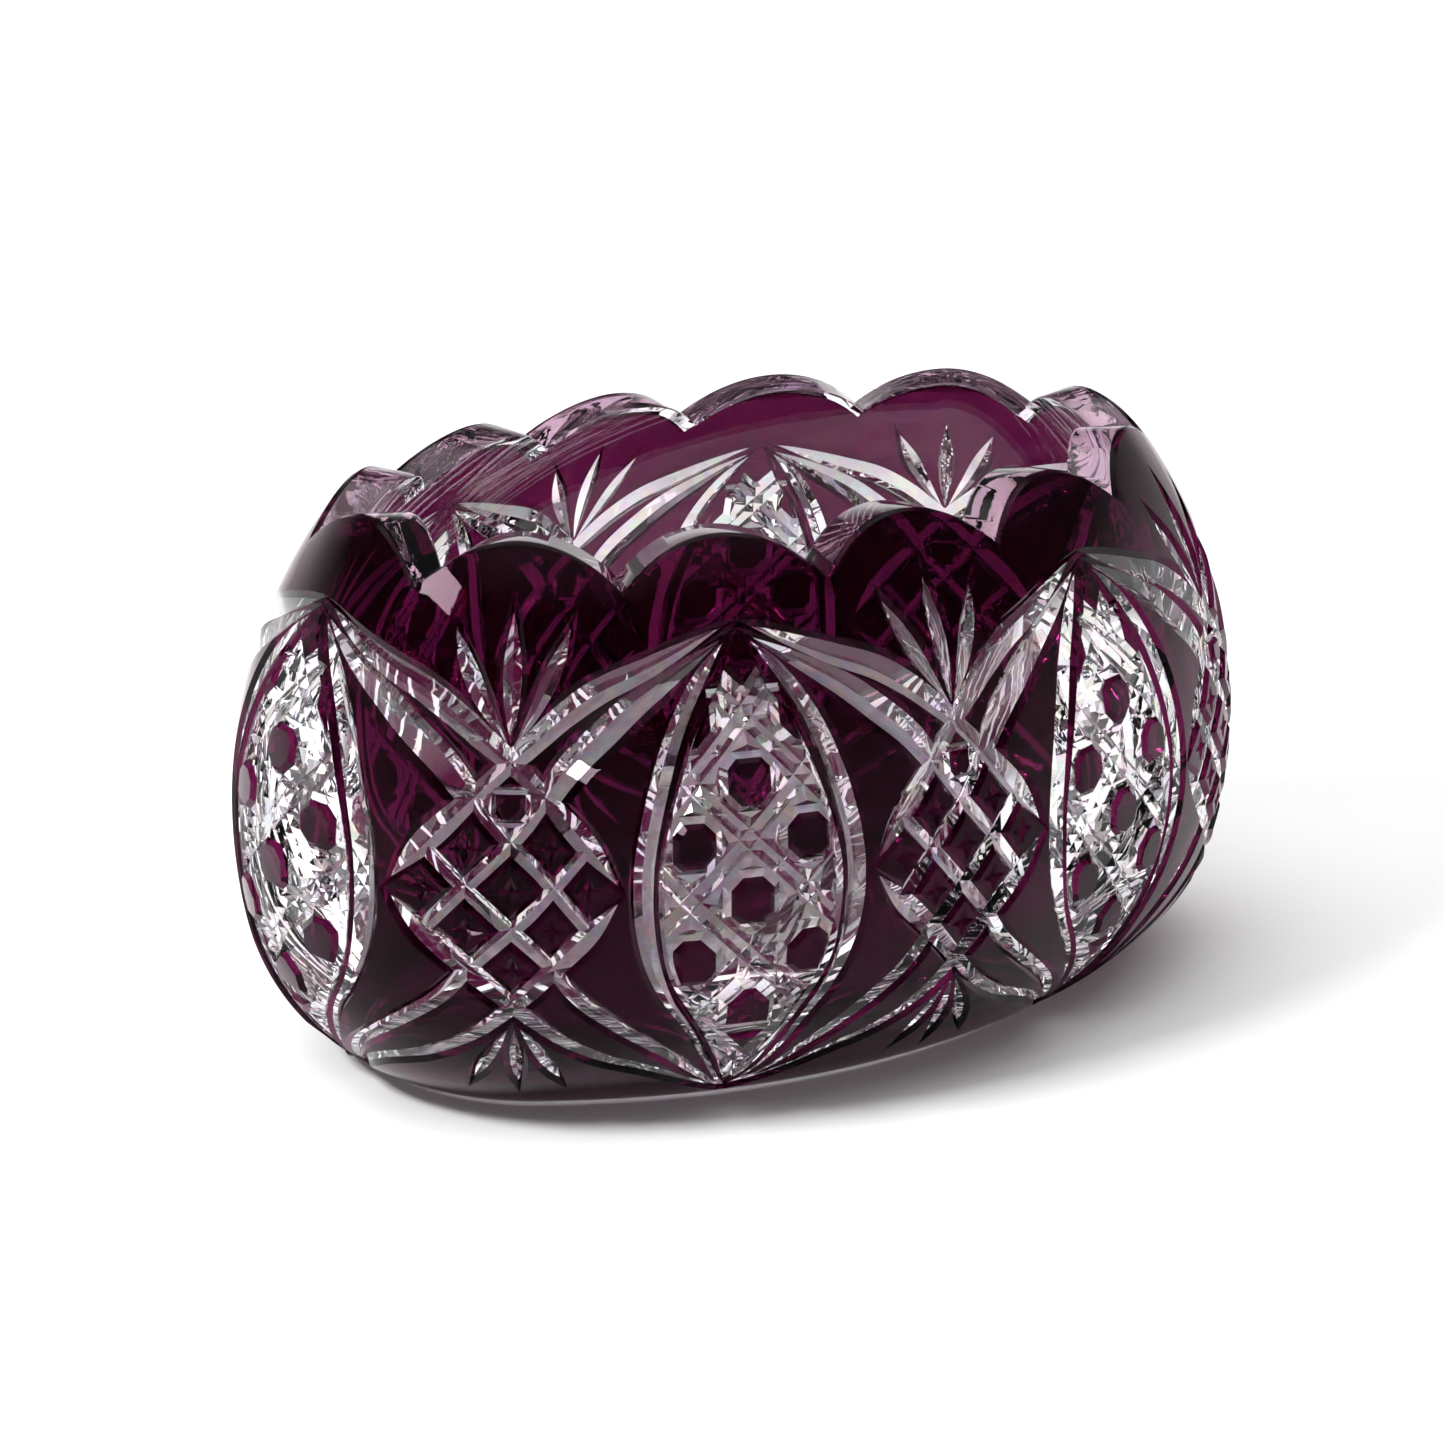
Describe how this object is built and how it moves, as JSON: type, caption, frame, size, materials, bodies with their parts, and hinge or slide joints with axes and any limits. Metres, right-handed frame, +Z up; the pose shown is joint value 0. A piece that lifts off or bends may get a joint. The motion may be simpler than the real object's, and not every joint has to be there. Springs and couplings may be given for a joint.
{
  "type": "oval cased glass bowl, cut to clear",
  "caption": "Heavy oval centrepiece bowl with a scalloped rim, its coloured casing cut through to the clear glass in fans, lattices and caned ovals.",
  "frame": {"origin": "middle of the foot, on the surface the bowl stands on", "axes": "+Z up, +X along the bowl's length, +Y across it"},
  "size_m": [0.236, 0.1598, 0.1235],
  "materials": {
    "clear_crystal": "polished clear lead crystal",
    "amethyst_casing": "polished amethyst overlay, flashed edges at the cuts"
  },
  "bodies": {
    "root": {"crystal_body": "clear_crystal", "rim_casing": "amethyst_casing", "apex_casings": "amethyst_casing", "flank_casings": "amethyst_casing", "waist_casings": "amethyst_casing", "spray_casings": "amethyst_casing", "base_casing": "amethyst_casing", "cane_buttons": "amethyst_casing", "lattice_diamonds": "amethyst_casing", "crown_buttons": "amethyst_casing"}
  },
  "joints": []
}
